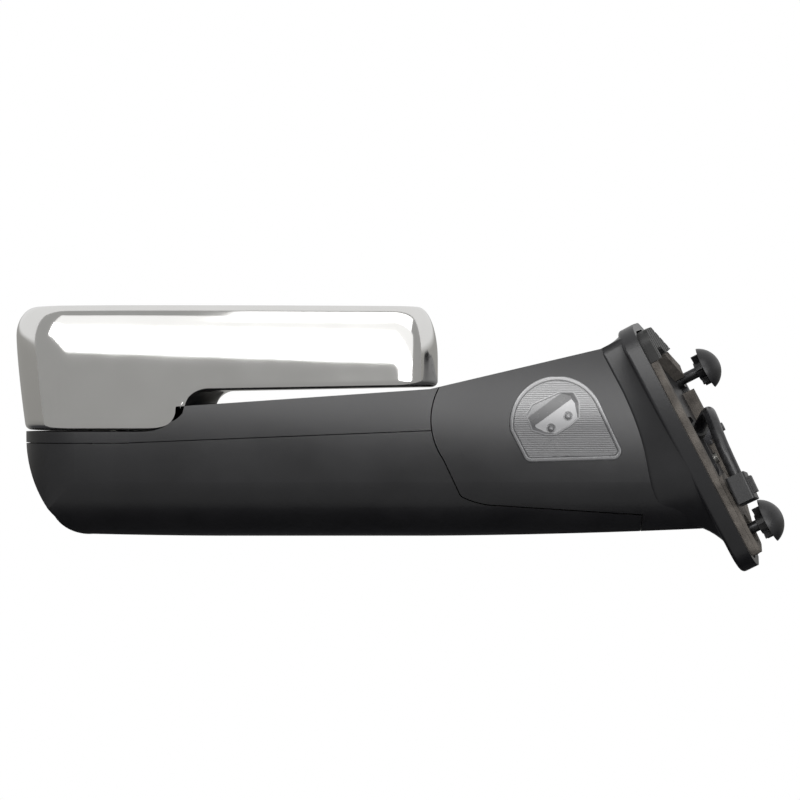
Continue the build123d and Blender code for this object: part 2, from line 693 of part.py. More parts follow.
def spotter_post():
    """Short post with the yoke of the spotter's upright axis."""
    post = rod((SPOT_X, -50, GLASS_Z), (SPOT_X, -40.05, GLASS_Z), 13)
    for side in (-1, 1):
        z = GLASS_Z + side * 8
        post += box(SPOT_X - 3, SPOT_X + 3, SPOT_PIVOT_Y, -49, z - 1.5, z + 1.5)
        post += rod((SPOT_X, SPOT_PIVOT_Y, z - 1.5), (SPOT_X, SPOT_PIVOT_Y, z + 1.5), 3)
    axis = rod((SPOT_X, SPOT_PIVOT_Y, GLASS_Z - 20), (SPOT_X, SPOT_PIVOT_Y, GLASS_Z + 20), 1.5 + RUNNING)
    return post - axis


def spotter_cross():
    y = SPOT_PIVOT_Y
    block = box(SPOT_X - 5.5, SPOT_X + 5.5, y - 2, y + 2, GLASS_Z - 5.5, GLASS_Z + 5.5)
    block += rod((SPOT_X, y, GLASS_Z - 9.5), (SPOT_X, y, GLASS_Z + 9.5), 1.5)
    return block + rod((SPOT_X - 9.5, y, GLASS_Z), (SPOT_X + 9.5, y, GLASS_Z), 1.5)


def spotter_carrier():
    y = SPOT_PIVOT_Y
    plate = front_view(rounded(SPOT_X0 + 1, SPOT_X1 - 1, GLASS_Z0 + 1, GLASS_Z1 - 1, 15), -66.5, -63)
    for side in (-1, 1):
        x = SPOT_X + side * 8
        plate += box(x - 1.5, x + 1.5, -64, y, GLASS_Z - 3, GLASS_Z + 3)
        plate += rod((x - 1.5, y, GLASS_Z), (x + 1.5, y, GLASS_Z), 3)
    return plate - rod((SPOT_X - 20, y, GLASS_Z), (SPOT_X + 20, y, GLASS_Z), 1.5 + RUNNING)


def spotter_glass():
    """Convex glass: a slice of a large sphere."""
    radius = 900.0
    blank = front_view(rounded(SPOT_X0, SPOT_X1, GLASS_Z0, GLASS_Z1, 16), -72, -66.55)
    return blank & (Pos(SPOT_X, radius - 71.5, GLASS_Z) * Sphere(radius))


def head_screws():
    """Screws through the frame into the shell."""
    return group([screw_y(x, -42.3, z, 8) for x, z in HEAD_SCREWS])


# ---- Writing ----
PIECES = {
    "base_housing": base_housing, "base_bracket": base_bracket, "door_studs": door_studs,
    "flange_gasket": flange_gasket, "rear_seal": rear_seal, "foam_block": foam_block,
    "locating_peg": locating_peg, "lamp_housing": lamp_housing, "lamp_lens": lamp_lens,
    "lamp_board": lamp_board, "lamp_leds": lamp_leds, "base_screws": base_screws,
    "fold_post": fold_post, "fold_detent_ring": fold_detent_ring, "fold_springs": fold_springs,
    "fold_retainer": fold_retainer, "wire_harness": wire_harness,
    "harness_grommet": harness_grommet, "harness_connector": harness_connector,
    "arm_front_cover": arm_front_cover, "arm_rear_cover": arm_rear_cover, "arm_frame": arm_frame,
    "fold_bush": fold_bush, "fold_detent_plate": fold_detent_plate, "flip_shaft": flip_shaft,
    "flip_washer": flip_washer, "flip_springs": flip_springs, "flip_nut": flip_nut,
    "arm_screws": arm_screws, "head_cover": head_cover, "head_bezel": head_bezel,
    "head_frame": head_frame, "flip_bush": flip_bush, "actuator_housing": actuator_housing,
    "actuator_cover": actuator_cover, "gimbal_cross": gimbal_cross,
    "glass_carrier": glass_carrier, "heater_pad": heater_pad, "main_glass": main_glass,
    "spotter_post": spotter_post, "spotter_cross": spotter_cross,
    "spotter_carrier": spotter_carrier, "spotter_glass": spotter_glass, "head_screws": head_screws,
}
for name, place in stud_places().items():
    PIECES["stud_cap_" + name] = lambda place=place: stud_cap(place)
for name, place in zip(("pan", "tilt"), screw_places()):
    PIECES[name + "_jackscrew"] = lambda place=place: jackscrew(*place)
PIECES["pan_motor"] = lambda: motor(GLASS_X - 22, GLASS_Z - 26)
PIECES["tilt_motor"] = lambda: motor(GLASS_X - 22, GLASS_Z + 30)


def write_all():
    os.makedirs("parts", exist_ok=True)
    for name, make in PIECES.items():
        piece = Pos(-ORIGIN.X, -ORIGIN.Y, -ORIGIN.Z) * make()
        export_step(piece, "parts/" + name + ".step")


write_all()
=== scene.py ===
import json
import math

import bmesh
import bpy
from mathutils import Matrix, Quaternion, Vector
from mathutils.bvhtree import BVHTree


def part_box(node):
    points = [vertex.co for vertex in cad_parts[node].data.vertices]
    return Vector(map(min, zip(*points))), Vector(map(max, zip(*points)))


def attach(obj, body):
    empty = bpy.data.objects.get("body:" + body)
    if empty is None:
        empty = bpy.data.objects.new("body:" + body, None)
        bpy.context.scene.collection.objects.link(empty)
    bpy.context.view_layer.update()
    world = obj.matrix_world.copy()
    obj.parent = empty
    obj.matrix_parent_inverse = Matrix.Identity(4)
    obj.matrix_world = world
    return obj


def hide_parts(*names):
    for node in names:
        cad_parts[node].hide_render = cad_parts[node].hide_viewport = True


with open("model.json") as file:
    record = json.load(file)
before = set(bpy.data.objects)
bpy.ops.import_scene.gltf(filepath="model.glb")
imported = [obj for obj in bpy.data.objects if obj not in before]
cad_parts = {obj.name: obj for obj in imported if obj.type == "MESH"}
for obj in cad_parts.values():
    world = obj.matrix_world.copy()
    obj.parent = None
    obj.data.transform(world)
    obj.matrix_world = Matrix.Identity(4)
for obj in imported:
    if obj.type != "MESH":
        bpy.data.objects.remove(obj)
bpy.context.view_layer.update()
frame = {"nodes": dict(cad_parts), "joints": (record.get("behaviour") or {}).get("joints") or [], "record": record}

# Shapes and places below are in millimetres from the fold axis, with the arm's underside at z = 0. spot()
# turns them into metres in the frame that the CAD parts are in. Materials and lights are in metres.
MM = 0.001
JOINTS = {joint["name"]: joint for joint in frame["joints"]}
FOLD = JOINTS["arm_fold"]["pos_m"]
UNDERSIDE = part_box("arm_front_cover")[0].z
BASE = Vector((FOLD[0], FOLD[1], UNDERSIDE))


def spot(x, y, z):
    """A place in millimetres from the fold axis, in metres."""
    return BASE + Vector((x, y, z)) * MM


def clamp(value):
    return min(max(value, 0.0), 1.0)


# ---- Materials ----
def new_material(name):
    material = bpy.data.materials.new(name)
    material.use_nodes = True
    nodes = material.node_tree.nodes
    return material, nodes, material.node_tree.links, nodes["Principled BSDF"]


def noise(nodes, scale, detail=3.0, rough=0.5):
    node = nodes.new("ShaderNodeTexNoise")
    node.inputs["Scale"].default_value = scale
    node.inputs["Detail"].default_value = detail
    node.inputs["Roughness"].default_value = rough
    return node


def object_coords(nodes, links, *targets):
    """Feeds the part's own coordinates to textures or to a splitter."""
    coords = nodes.new("ShaderNodeTexCoord")
    for target in targets:
        links.new(coords.outputs["Object"], target.inputs["Vector"])


def ramp(nodes, links, source, low, high, at=(0.3, 0.7)):
    node = nodes.new("ShaderNodeValToRGB")
    node.color_ramp.elements[0].position = at[0]
    node.color_ramp.elements[1].position = at[1]
    node.color_ramp.elements[0].color = (*low, 1)
    node.color_ramp.elements[1].color = (*high, 1)
    links.new(source, node.inputs["Fac"])
    return node.outputs["Color"]


def spread(nodes, links, source, low, high):
    """A 0 to 1 value as one from low to high."""
    node = nodes.new("ShaderNodeMapRange")
    node.inputs["To Min"].default_value = low
    node.inputs["To Max"].default_value = high
    links.new(source, node.inputs["Value"])
    return node.outputs["Result"]


def share_between(nodes, links, source, low, high):
    """A value from low to high as one from 0 to 1."""
    node = nodes.new("ShaderNodeMapRange")
    node.inputs["From Min"].default_value = low
    node.inputs["From Max"].default_value = high
    links.new(source, node.inputs["Value"])
    return node.outputs["Result"]


def bump(nodes, links, height, strength, distance, base=None):
    node = nodes.new("ShaderNodeBump")
    node.inputs["Strength"].default_value = strength
    node.inputs["Distance"].default_value = distance
    links.new(height, node.inputs["Height"])
    if base is not None:
        links.new(base, node.inputs["Normal"])
    return node.outputs["Normal"]


def grained(name, dark, light, rough, grain=2600.0, depth=0.00006, metallic=0.0):
    """A moulded or cast surface: fine grain, slow mottling and uneven gloss."""
    material, nodes, links, shader = new_material(name)
    fine, slow = noise(nodes, grain, 2.0), noise(nodes, 22.0, 4.0)
    object_coords(nodes, links, fine, slow)
    links.new(ramp(nodes, links, slow.outputs["Fac"], dark, light), shader.inputs["Base Color"])
    links.new(spread(nodes, links, slow.outputs["Fac"], rough - 0.06, rough + 0.08),
              shader.inputs["Roughness"])
    links.new(bump(nodes, links, fine.outputs["Fac"], 0.5, depth), shader.inputs["Normal"])
    shader.inputs["Metallic"].default_value = metallic
    return material


def plated(name, color, rough, waviness):
    """Bright plating: near mirror, with faint long waves and hazy patches."""
    material, nodes, links, shader = new_material(name)
    waves, haze = noise(nodes, 9.0, 1.0), noise(nodes, 40.0, 5.0)
    object_coords(nodes, links, waves, haze)
    low = tuple(c * 0.97 for c in color)
    links.new(ramp(nodes, links, haze.outputs["Fac"], low, color), shader.inputs["Base Color"])
    links.new(spread(nodes, links, haze.outputs["Fac"], rough * 0.6, rough * 1.5),
              shader.inputs["Roughness"])
    links.new(bump(nodes, links, waves.outputs["Fac"], 0.25, waviness), shader.inputs["Normal"])
    shader.inputs["Metallic"].default_value = 1.0
    return material


def turned(name, color, rough):
    """Machined or zinc-plated steel: fine turning lines and small stains."""
    material, nodes, links, shader = new_material(name)
    wave = nodes.new("ShaderNodeTexWave")
    wave.inputs["Scale"].default_value = 900.0
    wave.inputs["Distortion"].default_value = 1.5
    stains = noise(nodes, 120.0, 5.0)
    object_coords(nodes, links, wave, stains)
    low = tuple(c * 0.72 for c in color)
    links.new(ramp(nodes, links, stains.outputs["Fac"], low, color), shader.inputs["Base Color"])
    links.new(spread(nodes, links, stains.outputs["Fac"], rough - 0.08, rough + 0.12),
              shader.inputs["Roughness"])
    links.new(bump(nodes, links, wave.outputs["Fac"], 0.15, 0.00004), shader.inputs["Normal"])
    shader.inputs["Metallic"].default_value = 1.0
    return material


def foam(name, dark, light):
    """Closed-cell foam: open pores over a mottled colour."""
    material, nodes, links, shader = new_material(name)
    cells = nodes.new("ShaderNodeTexVoronoi")
    cells.inputs["Scale"].default_value = 900.0
    blotch = noise(nodes, 70.0, 5.0)
    object_coords(nodes, links, cells, blotch)
    links.new(ramp(nodes, links, blotch.outputs["Fac"], dark, light), shader.inputs["Base Color"])
    links.new(bump(nodes, links, cells.outputs["Distance"], 0.7, 0.0004), shader.inputs["Normal"])
    shader.inputs["Roughness"].default_value = 0.9
    return material


def tape_wrap(name):
    """Overlapped vinyl tape: glossy, with a small step at each turn."""
    material, nodes, links, shader = new_material(name)
    wave = nodes.new("ShaderNodeTexWave")
    wave.wave_profile = "SAW"
    wave.inputs["Scale"].default_value = 28.0
    wave.inputs["Distortion"].default_value = 2.5
    wave.inputs["Detail Scale"].default_value = 2.0
    wrinkle = noise(nodes, 260.0, 4.0)
    object_coords(nodes, links, wave, wrinkle)
    links.new(ramp(nodes, links, wrinkle.outputs["Fac"], (0.008, 0.008, 0.009), (0.02, 0.02, 0.022)),
              shader.inputs["Base Color"])
    first = bump(nodes, links, wave.outputs["Fac"], 0.6, 0.0006)
    links.new(bump(nodes, links, wrinkle.outputs["Fac"], 0.4, 0.0003, first), shader.inputs["Normal"])
    links.new(spread(nodes, links, wrinkle.outputs["Fac"], 0.2, 0.4), shader.inputs["Roughness"])
    return material


def clear_plastic(name):
    """Moulded clear plastic, very faintly grey, with flow marks."""
    material, nodes, links, shader = new_material(name)
    flow = noise(nodes, 60.0, 3.0)
    object_coords(nodes, links, flow)
    links.new(ramp(nodes, links, flow.outputs["Fac"], (0.82, 0.83, 0.84), (0.93, 0.93, 0.94)),
              shader.inputs["Base Color"])
    links.new(spread(nodes, links, flow.outputs["Fac"], 0.05, 0.14), shader.inputs["Roughness"])
    links.new(bump(nodes, links, flow.outputs["Fac"], 0.1, 0.0003), shader.inputs["Normal"])
    shader.inputs["Transmission Weight"].default_value = 0.85
    shader.inputs["IOR"].default_value = 1.49
    return material


LENS_SHADE_SPAN = (BASE.y - 0.012, BASE.y + 0.004)     # y where the painted shade on the lamp's face starts and stops darkening it


def lens_material(name):
    """Clear ribbed plastic in front of a silvered box, with painted shade: its colour is lighter at the rear and
    darker towards the front.
    """
    material, nodes, links, shader = new_material(name)
    flow = noise(nodes, 90.0, 4.0)
    split = nodes.new("ShaderNodeSeparateXYZ")
    object_coords(nodes, links, flow, split)
    # Painted shade: the face's base colour goes from lighter at the rear to darker at the front, standing in for
    # light from behind.
    place = share_between(nodes, links, split.outputs["Y"], *LENS_SHADE_SPAN)
    painted_shade = ramp(nodes, links, place, (0.34, 0.34, 0.345), (0.13, 0.13, 0.134), (0.0, 1.0))
    links.new(painted_shade, shader.inputs["Base Color"])
    links.new(spread(nodes, links, flow.outputs["Fac"], 0.16, 0.34), shader.inputs["Roughness"])
    links.new(bump(nodes, links, flow.outputs["Fac"], 0.1, 0.0002), shader.inputs["Normal"])
    shader.inputs["Metallic"].default_value = 0.2
    shader.inputs["Coat Weight"].default_value = 0.2
    shader.inputs["Coat Roughness"].default_value = 0.06
    return material


CROWN_RADIUS = 0.23
CROWN_Y = BASE.y + 0.017             # y of the line along the arm where the crown is level


def calculated(nodes, links, operation, source, other):
    """One maths step, on another node's output or on a plain number."""
    node = nodes.new("ShaderNodeMath")
    node.operation = operation
    links.new(source, node.inputs[0])
    if isinstance(other, float):
        node.inputs[1].default_value = other
    else:
        links.new(other, node.inputs[1])
    return node.outputs[0]


def crowned(material):
    """Adds a slight crown across the arm to a material's own bump."""
    nodes, links = material.node_tree.nodes, material.node_tree.links
    shader = nodes["Principled BSDF"]
    first = shader.inputs["Normal"].links[0].from_socket
    split = nodes.new("ShaderNodeSeparateXYZ")
    object_coords(nodes, links, split)
    across = calculated(nodes, links, "SUBTRACT", split.outputs["Y"], CROWN_Y)
    square = calculated(nodes, links, "MULTIPLY", across, across)
    fall = calculated(nodes, links, "MULTIPLY", square, -0.5 / CROWN_RADIUS)
    links.new(bump(nodes, links, fall, 1.0, 1.0, first), shader.inputs["Normal"])
    return material


PLASTIC = crowned(grained("black_grained_plastic", (0.010, 0.010, 0.0112), (0.015, 0.015, 0.0165), 0.31))
CHROME = plated("bright_chrome", (0.82, 0.815, 0.80), 0.09, 0.0022)
CAST = grained("cast_alloy", (0.36, 0.36, 0.37), (0.55, 0.55, 0.56), 0.45, 700.0, 0.0003, 1.0)
STEEL = turned("zinc_steel", (0.62, 0.61, 0.57), 0.3)
SILVER = plated("mirror_silver", (0.88, 0.90, 0.91), 0.012, 0.00002)
FOAM = foam("grey_brown_foam", (0.06, 0.053, 0.047), (0.15, 0.135, 0.12))
RUBBER = grained("black_rubber", (0.012, 0.012, 0.012), (0.024, 0.024, 0.024), 0.5, 1500.0, 0.0001)
GREY = grained("dark_grey_nylon", (0.05, 0.05, 0.055), (0.08, 0.08, 0.085), 0.5)
WHITE = grained("white_acetal", (0.6, 0.6, 0.58), (0.75, 0.75, 0.72), 0.35)
BOARD = grained("green_board", (0.01, 0.10, 0.04), (0.02, 0.18, 0.07), 0.35)
TAPE = tape_wrap("wound_tape")
CLEAR = clear_plastic("clear_lens_plastic")
FOIL = grained("printed_heater", (0.30, 0.12, 0.03), (0.45, 0.2, 0.06), 0.4)
SILVERED = plated("reflector_silver", (0.82, 0.82, 0.80), 0.16, 0.0006)
LENS_PAINTED_SHADE = lens_material("lens_painted_shade")
CAP_BLACK = grained("cap_nylon", (0.006, 0.006, 0.007), (0.014, 0.014, 0.015), 0.34, 900.0, 0.00008)

SLOT_MATERIALS = {
    "black_plastic": PLASTIC, "bright_plating": CHROME, "cast_alloy": CAST, "zinc_steel": STEEL,
    "mirror_glass": SILVER, "clear_lens": CLEAR, "foam": FOAM, "soft_rubber": RUBBER,
    "grey_plastic": GREY, "board": BOARD, "white_plastic": WHITE, "tape": TAPE, "motor_can": STEEL,
    "heater_foil": FOIL,
}
COATED = grained("coated_casting", (0.012, 0.012, 0.013), (0.03, 0.03, 0.032), 0.42, 500.0, 0.0002)
BLACK_ZINC = turned("black_zinc_steel", (0.07, 0.07, 0.072), 0.34)
NODE_MATERIALS = {
    "base_bracket": COATED, "door_studs": BLACK_ZINC, "harness_connector": CAP_BLACK,
    "lamp_housing": SILVERED, "lamp_leds": WHITE, "stud_cap_upper": CAP_BLACK, "stud_cap_lower": CAP_BLACK,
}


def paint(obj, material):
    obj.data.materials.clear()
    obj.data.materials.append(material)


for part in frame["record"]["subparts"]:
    node = frame["nodes"][part["node"]]
    paint(node, NODE_MATERIALS.get(part["node"], SLOT_MATERIALS[part["material_slot"]]))


# ---- Meshes that replace CAD nodes or are added to them ----
def mesh_object(name, points, faces, material, smooth=True):
    """A mesh from points in metres, with its faces turned outward."""
    mesh = bpy.data.meshes.new(name)
    mesh.from_pydata(points, [], faces)
    shape = bmesh.new()
    shape.from_mesh(mesh)
    bmesh.ops.recalc_face_normals(shape, faces=shape.faces)
    shape.to_mesh(mesh)
    shape.free()
    for face in mesh.polygons:
        face.use_smooth = smooth
    obj = bpy.data.objects.new(name, mesh)
    bpy.context.scene.collection.objects.link(obj)
    paint(obj, material)
    return obj


def thicken(obj, thickness, offset):
    solid = obj.modifiers.new("thickness", "SOLIDIFY")
    solid.thickness = thickness * MM
    solid.offset = offset


def find_edge(low, high, is_short):
    """The value between low and high where is_short() stops being true."""
    for _ in range(34):
        middle = (low + high) / 2
        low, high = (middle, high) if is_short(middle) else (low, middle)
    return low


HEAD_X = (-345.0, -43.0)             # outboard and inboard ends
HEAD_TOP = 200.0
OUTBOARD_CORNER_R, INBOARD_CORNER_R = 40.0, 30.0
REAR = -81.0
FLIP = (-280.0, 56.0)                # x and z of the flip axis
SHAFT_HOLE_R = 17
TURRET = 62.0                        # radius of the flat part of the round turret
FLANK = 14.0                         # radius of each half of its flank
FLANK_ARC = FLANK * math.pi / 2
TURRET_FOOT = TURRET + 2 * FLANK     # radius where the front begins
FACE_Y, BODY_Y = 7.4, -20.6          # the turret's flat, and the front at the turret's foot
FRONT_FALL, FRONT_REACH = 3.0, 147   # how far the front slopes back, and over what radius
EDGE_R = 4.0                         # rounding between the front and the walls
LIP = 14.5                           # how far the lip behind turns in
LIP_RETURN = (1.5, 3)                # its two last rows, forward of the rear edge
ROLL_ABOVE, ROLL_INBOARD, ROLL_OUTBOARD = 45, 38, 20        # how deep the rear edge's rounding is
CROWN_X = -250                       # where the rear edge is farthest back
OUTBOARD_RUN, INBOARD_RUN = CROWN_X - HEAD_X[0], HEAD_X[1] - CROWN_X
REAR_CROWN, CROWN_RUN = 0.8, 60      # how far the rear edge curves forward, and over what length
END_DRAFT, DRAFT_Y, DRAFT_RUN = 7.0, -60, 68                # the same for the outboard end's taper
SPOKES = 420                         # lines round the shell, each with these rows of points
TURRET_ROWS, FRONT_ROWS, EDGE_ROWS, WALL_ROWS, ROLL_ROWS = 84, 36, 5, 14, 24
KNEE, KNEE_SHARE = 112.0, 0.667      # where the turret's rows end, at most and as a share
SHELL_THICKNESS = 2.4


def outline_gap(x, z, inset):
    """How far a point is outside the head's rounded outline (negative inside)."""
    middle_x, middle_z = sum(HEAD_X) / 2, HEAD_TOP / 2
    corner = (OUTBOARD_CORNER_R if x < middle_x else INBOARD_CORNER_R) - inset
    dx = abs(x - middle_x) - (HEAD_X[1] - HEAD_X[0]) / 2 + inset + corner
    dz = abs(z - middle_z) - HEAD_TOP / 2 + inset + corner
    return math.hypot(max(dx, 0), max(dz, 0)) + min(max(dx, dz), 0) - corner


def from_flip(angle, radius):
    return FLIP[0] + radius * math.cos(angle), FLIP[1] + radius * math.sin(angle)


def reach(angle, inset):
    """Distance from the flip axis to the head's outline."""
    return find_edge(10.0, 400.0, lambda radius: outline_gap(*from_flip(angle, radius), inset) < 0)


def even_angles(count):
    """Angles whose points on the outline are evenly spaced along it."""
    samples = 2400
    fine = [2 * math.pi * k / samples for k in range(samples + 1)]
    points = []
    for angle in fine:
        edge = reach(angle, 0)
        points.append((edge * math.cos(angle), edge * math.sin(angle)))
    along = [0.0]
    for first, second in zip(points, points[1:]):
        along.append(along[-1] + math.dist(first, second))
    angles, k = [], 0
    for n in range(count):
        goal = along[-1] * n / count
        while along[k + 1] < goal:
            k += 1
        part = (goal - along[k]) / (along[k + 1] - along[k])
        angles.append(fine[k] + part * (fine[k + 1] - fine[k]))
    return angles


def front_profile(run):
    """Radius and y on the front, by the length run out from the turret's centre."""
    if run < TURRET:
        return run, FACE_Y
    turn = (run - TURRET) / FLANK
    if run < TURRET + FLANK_ARC:
        return TURRET + FLANK * math.sin(turn), FACE_Y - FLANK * (1 - math.cos(turn))
    turn -= math.pi / 2
    if run < TURRET + 2 * FLANK_ARC:
        return TURRET + FLANK * (2 - math.cos(turn)), BODY_Y + FLANK * (1 - math.sin(turn))
    radius = run - 2 * FLANK_ARC + 2 * FLANK
    return radius, BODY_Y - FRONT_FALL * (radius - TURRET_FOOT) / FRONT_REACH


def run_to(radius):
    """Length run out from the turret's centre to a radius."""
    return find_edge(0.0, 400.0, lambda run: front_profile(run)[0] < radius)


def shell_warp(x, y, z):
    """Tapers the outboard end towards the front, and crowns the rear edge."""
    draft = END_DRAFT * clamp((y - DRAFT_Y) / DRAFT_RUN) ** 1.4 * clamp((CROWN_X - x) / OUTBOARD_RUN)
    crown = REAR_CROWN * ((x - CROWN_X) / (INBOARD_RUN if x > CROWN_X else OUTBOARD_RUN)) ** 2
    return x + draft, y + crown * clamp((BODY_Y - y) / CROWN_RUN) ** 2, z


def roll_depth(angle):
    """How deep the rear edge's rounding is: shallow outboard, deep above and below."""
    x, z = from_flip(angle, reach(angle, 0))
    right = outline_gap(x + 0.5, z, 0) - outline_gap(x - 0.5, z, 0)
    up = outline_gap(x, z + 0.5, 0) - outline_gap(x, z - 0.5, 0)
    share = right ** 2 / (right ** 2 + up ** 2 + 1e-9)
    return (1 - share) * ROLL_ABOVE + share * (ROLL_INBOARD if right > 0 else ROLL_OUTBOARD)


def spoke(angle):
    """One line over the shell, from the shaft's hole to the lip behind."""
    total = run_to(reach(angle, EDGE_R))
    knee = min(KNEE, SHAFT_HOLE_R + (total - SHAFT_HOLE_R) * KNEE_SHARE)
    runs = [SHAFT_HOLE_R + (knee - SHAFT_HOLE_R) * k / TURRET_ROWS for k in range(TURRET_ROWS)]
    runs += [knee + (total - knee) * k / FRONT_ROWS for k in range(FRONT_ROWS + 1)]
    line = [front_profile(run) for run in runs]
    face = line[-1][1]
    for k in range(1, EDGE_ROWS + 1):
        turn = math.pi / 2 * k / EDGE_ROWS
        line.append((reach(angle, EDGE_R * (1 - math.sin(turn))), face - EDGE_R * (1 - math.cos(turn))))
    wall, outer = face - EDGE_R, line[-1][0]
    depth = min(roll_depth(angle), wall - REAR - 1)
    for k in range(1, WALL_ROWS + 1):
        line.append((outer, wall + (REAR + depth - wall) * k / WALL_ROWS))
    for k in range(1, ROLL_ROWS + 1):
        turn = math.pi / 2 * k / ROLL_ROWS
        line.append((reach(angle, LIP * (1 - math.cos(turn))), REAR + depth * (1 - math.sin(turn))))
    line += [(line[-1][0], REAR + step) for step in LIP_RETURN]
    points = []
    for radius, y in line:
        x, z = from_flip(angle, radius)
        points.append(spot(*shell_warp(x, y, z)))
    return points


def ring_faces(turns, rows):
    """Quads between the points of neighbouring lines, the last line joined to the first."""
    faces = []
    for n in range(turns):
        after = (n + 1) % turns
        for k in range(rows - 1):
            faces.append((n * rows + k, n * rows + k + 1, after * rows + k + 1, after * rows + k))
    return faces


def chrome_shell():
    """The head's plated shell: round turret, rolled rear edge, crowned walls."""
    spokes = [spoke(angle) for angle in even_angles(SPOKES)]
    points = [point for line in spokes for point in line]
    shell = mesh_object("chrome_shell", points, ring_faces(SPOKES, len(spokes[0])), CHROME)
    thicken(shell, SHELL_THICKNESS, -1)
    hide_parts("head_cover")
    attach(shell, "head")


LAMP_MID, LAMP_R = (40, 2.8), 33.4
LAMP_ARC = (-188, 161.9)             # where the round crown starts and how far it turns, in degrees
LAMP_LOW, LAMP_LOW_R = [(88.5, 27.6), (18.4, 29.6)], 6      # its two forward corners
POCKET = [(18.9, -3.5), (23.1, -10.5), (42, -18.9), (51.1, -18.9), (54.6, -12.6), (54.6, -1.4),
          (49, 3.5), (39.2, 9.8), (31.5, 9.8), (23.1, 7)]
POCKET_R = 2.0
POCKET_EDGE, POCKET_BACK = (39.4, 10.1), (-0.592, -0.805)   # its forward edge, and the way back from it
POCKET_DEPTH, FLOOR_RUN, WALL_RUN = 3.6, 13.7, 7.6
SIDE_STEP, SIDE_SLOPE = 0.05, 1.4    # the pocket's sides
BULBS = [(35.8, 5.9), (47.7, -2.7)]
BULB_R, BULB_HEIGHT = 1.9, 1.3
BULB_RING_R, BULB_RING_WIDTH, BULB_RING_DEPTH = 2.5, 0.5, 0.35
FACE_LEVEL = 0.1                     # the ribbed face's z, sunk just inside the underside
RIM_WIDTH, RIM_HEIGHT, GROOVE_DEPTH = 3.4, 0.7, 0.5
RIM_STEPS, GROOVE_STEPS = (0.0, 0.8, 2.3, 0.5), (2.5, 0.5, 3.0, 0.4)        # start, rise, end and fall
RIB_PITCH, RIB_HEIGHT = 1.3, 0.26
RIB_START, RIB_FADE = 0.9, 0.5       # distances from the pocket
BEAD_GAP, BEAD_WIDTH, BEAD_HEIGHT = 0.6, 0.45, 0.4          # the bead round the pocket
LAMP_ROWS, LAMP_COLUMNS = 320, 200
LAMP_GAP_X, LAMP_GAP_Y = 0.45, 0.5   # gaps round the face inside its opening
LAMP_THICKNESS = 0.8


def rounded_loop(corners, steps=10):
    """Points round a polygon whose corners are arcs; a radius of 0 leaves a plain point."""
    loop = []
    for n, (corner, radius) in enumerate(corners):
        if not radius:
            loop.append(corner)
            continue
        here = Vector(corner)
        back = (Vector(corners[n - 1][0]) - here).normalized()
        ahead = (Vector(corners[(n + 1) % len(corners)][0]) - here).normalized()
        half = math.acos(back.dot(ahead)) / 2
        centre = here + (back + ahead).normalized() * radius / math.sin(half)
        first = here + back * radius / math.tan(half) - centre
        last = here + ahead * radius / math.tan(half) - centre
        for k in range(steps + 1):
            mixed = first.lerp(last, k / steps).normalized() * radius
            loop.append(tuple(centre + mixed))
    return loop


def lens_outline():
    """The lamp's teardrop: a round crown over two straight sides."""
    crown, steps = [], 60
    for k in range(steps + 1):
        turn = math.radians(LAMP_ARC[0] + LAMP_ARC[1] * k / steps)
        crown.append((LAMP_MID[0] + LAMP_R * math.cos(turn), LAMP_MID[1] + LAMP_R * math.sin(turn)))
    return rounded_loop([(point, 0) for point in crown] + [(corner, LAMP_LOW_R) for corner in LAMP_LOW])


def edge_distance(x, y, loop):
    """Distance to a loop's nearest side."""
    best = 1e9
    for (ax, ay), (bx, by) in zip(loop, loop[1:] + loop[:1]):
        dx, dy = bx - ax, by - ay
        part = clamp(((x - ax) * dx + (y - ay) * dy) / (dx * dx + dy * dy + 1e-9))
        best = min(best, math.hypot(x - ax - part * dx, y - ay - part * dy))
    return best


def inside(x, y, loop):
    found = False
    for (ax, ay), (bx, by) in zip(loop, loop[1:] + loop[:1]):
        if (ay > y) != (by > y) and x < (bx - ax) * (y - ay) / (by - ay) + ax:
            found = not found
    return found


def smooth_step(value):
    value = clamp(value)
    return value * value * (3 - 2 * value)


def plateau(value, start, rise, end, fall):
    """Rises smoothly from 0 to 1 after start and falls back after end."""
    return smooth_step((value - start) / rise) * (1 - smooth_step((value - end) / fall))


def ridge(value, middle, width):
    return math.exp(-((value - middle) / width) ** 2)


def lens_height(x, y, outline, pocket):
    """z of the lamp's face: rim, groove, fine ribs, and a sunk pocket with two bulbs.

    The pocket's floor slopes inward from its forward edge to the foot of a steep rear wall.
    """
    edge = edge_distance(x, y, outline)
    if edge < RIM_WIDTH:
        rim, groove = plateau(edge, *RIM_STEPS), plateau(edge, *GROOVE_STEPS)
        return -FACE_LEVEL - RIM_HEIGHT * rim + GROOVE_DEPTH * groove
    depth = edge_distance(x, y, pocket) * (1 if inside(x, y, pocket) else -1)
    if depth < 0:
        ribs = RIB_HEIGHT * (0.5 + 0.5 * math.cos(2 * math.pi * y / RIB_PITCH))
        bead = BEAD_HEIGHT * ridge(depth, -BEAD_GAP, BEAD_WIDTH)
        return FACE_LEVEL - ribs * smooth_step((-depth - RIB_START) / RIB_FADE) - bead
    back = POCKET_BACK[0] * (x - POCKET_EDGE[0]) + POCKET_BACK[1] * (y - POCKET_EDGE[1])
    floor_z = POCKET_DEPTH * clamp(back / FLOOR_RUN)
    wall_z = POCKET_DEPTH * clamp(1 - (back - FLOOR_RUN) / WALL_RUN)
    height = FACE_LEVEL + min(floor_z, wall_z, SIDE_SLOPE * depth + SIDE_STEP)
    for bulb_x, bulb_y in BULBS:
        near = math.hypot(x - bulb_x, y - bulb_y)
        height += BULB_RING_DEPTH * ridge(near, BULB_RING_R, BULB_RING_WIDTH)
        height -= BULB_HEIGHT * math.sqrt(max(0.0, 1 - (near / BULB_R) ** 2))
    return height


